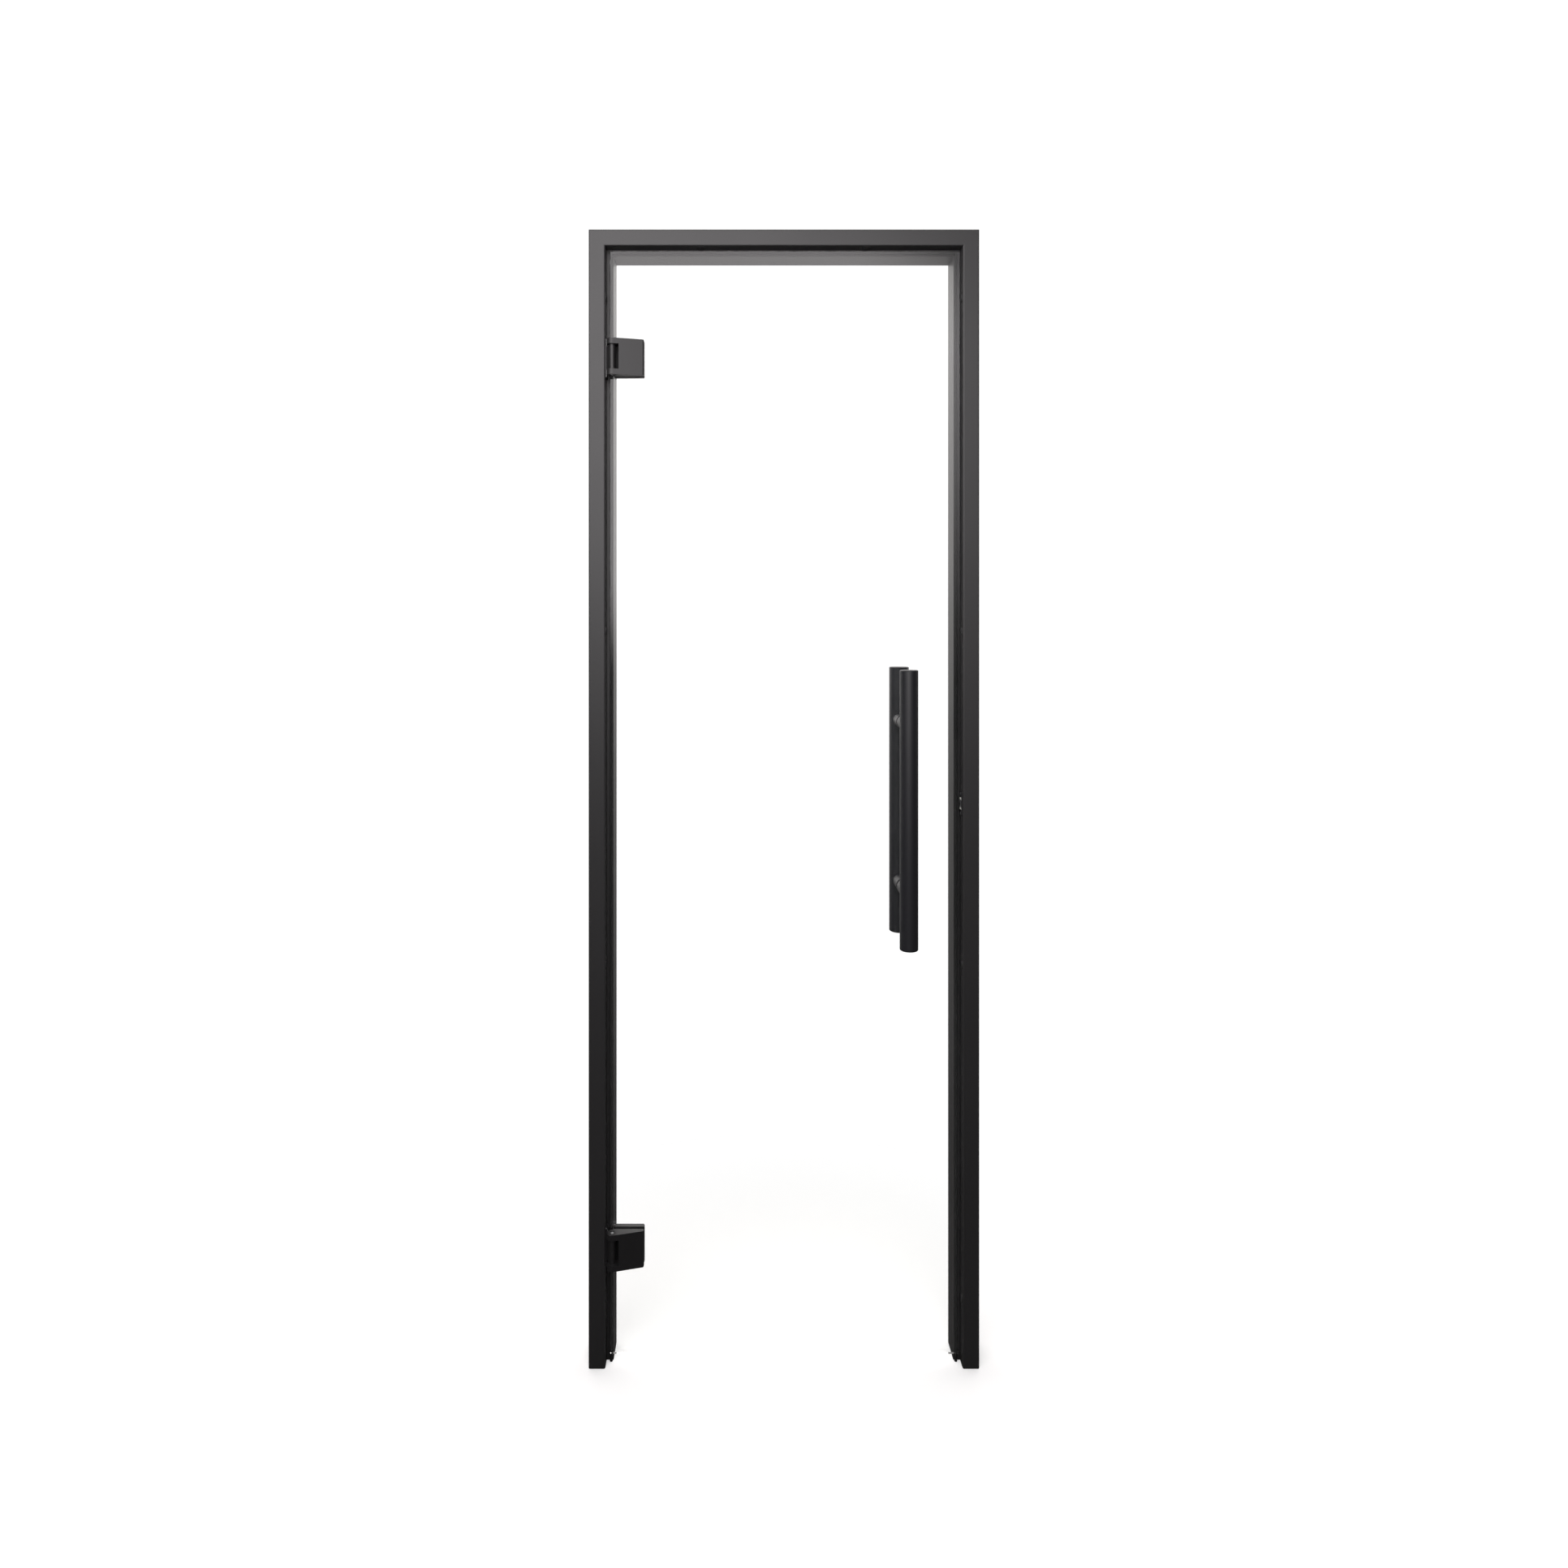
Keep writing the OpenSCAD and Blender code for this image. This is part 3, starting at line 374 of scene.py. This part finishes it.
def coil_mesh(name, low, high):
    """Round wire wound into a helix along X that fills the box, closed at both ends."""
    middle = (low + high) / 2
    winding = (high.z - low.z) / 2 - WIRE_R
    run = high.x - low.x - 2 * WIRE_R
    steps = SPRING_TURNS * TURN_STEPS
    shape = bmesh.new()
    rings = []
    for step in range(steps + 1):
        turn = 2 * math.pi * step / TURN_STEPS
        along = low.x + WIRE_R + run * step / steps
        ring = []
        for corner in range(WIRE_SIDES):
            side = 2 * math.pi * corner / WIRE_SIDES
            reach = winding + WIRE_R * math.cos(side)
            across = middle.y + reach * math.cos(turn)
            up = middle.z + reach * math.sin(turn)
            ring.append(shape.verts.new((along + WIRE_R * math.sin(side), across, up)))
        rings.append(ring)
    for here, there in zip(rings, rings[1:]):
        for corner in range(WIRE_SIDES):
            after = (corner + 1) % WIRE_SIDES
            shape.faces.new((here[corner], there[corner], there[after], here[after]))
    shape.faces.new(rings[0])
    shape.faces.new(rings[-1])
    bmesh.ops.recalc_face_normals(shape, faces=shape.faces)
    mesh = bpy.data.meshes.new(name)
    shape.to_mesh(mesh)
    shape.free()
    mesh.shade_smooth()
    return mesh


def make_spring():
    """Spring in place of the CAD one, fixed to the frame."""
    low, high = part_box("catch_spring")
    mesh = coil_mesh("catch_spring_coil", low, high)
    mesh.materials.append(FINISHES["steel"])
    spring = bpy.data.objects.new("catch_spring_coil", mesh)
    bpy.context.scene.collection.objects.link(spring)
    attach(spring, "frame")
    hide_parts("catch_spring")
    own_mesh(spring)


# Stage

def seen_rays(shader):
    """1 for rays from the eye, straight or through clear glass, and 0 after any bounce off a surface."""
    rays = shader.node("ShaderNodeLightPath").outputs
    bounces = shader.math("ADD", rays["Diffuse Depth"], rays["Glossy Depth"])
    unbounced = shader.math("SUBTRACT", 1.0, shader.math("MINIMUM", bounces, 1.0))
    through = shader.math("MULTIPLY", rays["Is Transmission Ray"], unbounced)
    return shader.math("MAXIMUM", rays["Is Camera Ray"], through)


def make_world():
    """White where it is seen; for light and reflections a dim room with a backdrop that is lit from above."""
    world = bpy.data.worlds.new("studio")
    world.use_nodes = True
    bpy.context.scene.world = world
    shader = Shader(world.node_tree)
    output = shader.node("ShaderNodeOutputWorld")
    axes = shader.axes(shader.place("Generated"))
    backdrop = shader.span(axes["Z"], *BACK_RISE, BACK_LOW - FRONT_ROOM, BACK_HIGH - FRONT_ROOM)
    behind = shader.span(axes["Y"], *BACK_TURN, 0.0, 1.0, smooth=True)
    level = shader.math("ADD", FRONT_ROOM, shader.math("MULTIPLY", backdrop, behind))
    room = shader.light("ShaderNodeBackground", BACK_TINT, level)
    white = shader.light("ShaderNodeBackground", WHITE, BACKGROUND)
    shader.feed(shader.mixed(seen_rays(shader), room, white), output.inputs["Surface"])


def floor_material():
    """Pale near the feet, so that the shadow shows, and white further out. For the object's reflections and
    bounce light it is a dim matt floor with a painted glow that brightens further behind.
    """
    material = bpy.data.materials.new("pale_floor")
    material.use_nodes = True
    shader = Shader(material.node_tree)
    output = shader.node("ShaderNodeOutputMaterial")
    place = shader.place()
    reach = shader.node("ShaderNodeVectorMath", operation="LENGTH")
    shader.feed(place, reach.inputs[0])
    far = shader.span(reach.outputs["Value"], FLOOR_NEAR, FLOOR_FAR, 0.0, 1.0, smooth=True)
    near = shader.added(shader.matt(FLOOR_ALBEDO), shader.light("ShaderNodeEmission", WHITE, FLOOR_GLOW))
    white = shader.light("ShaderNodeEmission", WHITE, BACKGROUND)
    seen = shader.mixed(far, near, white)
    # Painted glow: the floor emits light that rises from front to back, standing in for a lit floor behind
    # the door
    painted_glow_level = shader.span(shader.axes(place)["Y"], *PAINTED_GLOW_RISE, PAINTED_GLOW_FRONT, PAINTED_GLOW_BACK)
    painted_glow = shader.light("ShaderNodeEmission", BACK_TINT, painted_glow_level)
    dim_floor_and_painted_glow = shader.added(shader.matt(BOUNCE_ALBEDO), painted_glow)
    shader.feed(shader.mixed(seen_rays(shader), dim_floor_and_painted_glow, seen), output.inputs["Surface"])
    return material


def make_floor():
    bpy.ops.mesh.primitive_plane_add(size=2 * FLOOR_HALF, location=(0.0, 0.0, 0.0))
    floor = bpy.context.object
    floor.name = "floor"
    floor.data.materials.append(floor_material())


def make_lamp(name, place, aim, sides, core, roll, level, colour):
    """Large soft light that is not itself seen and fades out towards its edges."""
    lamp = bpy.data.lights.new(name, "AREA")
    lamp.shape = "RECTANGLE"
    lamp.size, lamp.size_y = sides
    lamp.energy = math.pi * level * sides[0] * sides[1]
    lamp.color = colour
    lamp.use_nodes = True
    shader = Shader(lamp.node_tree)
    across = shader.axes(shader.node("ShaderNodeNewGeometry").outputs["Parametric"])
    fades = []
    for axis, even in zip(("X", "Y"), core):
        off = shader.math("ABSOLUTE", shader.math("SUBTRACT", across[axis], 0.5))
        fades.append(shader.span(off, even, 0.5, 1.0, 0.0, smooth=True))
    output = shader.node("ShaderNodeOutputLight")
    emission = shader.light("ShaderNodeEmission", WHITE, shader.math("MULTIPLY", *fades))
    shader.feed(emission, output.inputs["Surface"])
    holder = bpy.data.objects.new(name, lamp)
    holder.location = place
    turn = (aim - place).to_track_quat("-Z", "Y") @ Quaternion((0.0, 0.0, 1.0), roll)
    holder.rotation_euler = turn.to_euler()
    holder.visible_camera = False
    holder.visible_transmission = False
    bpy.context.scene.collection.objects.link(holder)


def make_camera():
    """Level view along +Y, shifted so that the axis meets its pixel."""
    data = bpy.data.cameras.new("camera")
    camera = bpy.data.objects.new("camera", data)
    camera.location = EYE
    camera.rotation_euler = Vector((0.0, 1.0, 0.0)).to_track_quat("-Z", "Y").to_euler()
    front_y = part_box("head_rail")[0].y
    data.sensor_width = SENSOR_MM
    data.lens = SENSOR_MM * PX_PER_M * (front_y - EYE.y) / PICTURE_SIDE
    data.shift_x = 0.5 - AXIS_PX[0] / PICTURE_SIDE
    data.shift_y = AXIS_PX[1] / PICTURE_SIDE - 0.5
    data.clip_start = CLIP_START
    bpy.context.scene.collection.objects.link(camera)
    bpy.context.scene.camera = camera


dress_nodes()
for sharp in SHARP_NODES:
    soften_edges(sharp)
make_spring()
make_camera()
make_world()
make_floor()
make_lamp("key", KEY_PLACE, KEY_AIM, KEY_SIDES, KEY_CORE, KEY_ROLL, KEY_LEVEL, KEY_TINT)
bpy.context.scene.view_settings.view_transform = "Standard"
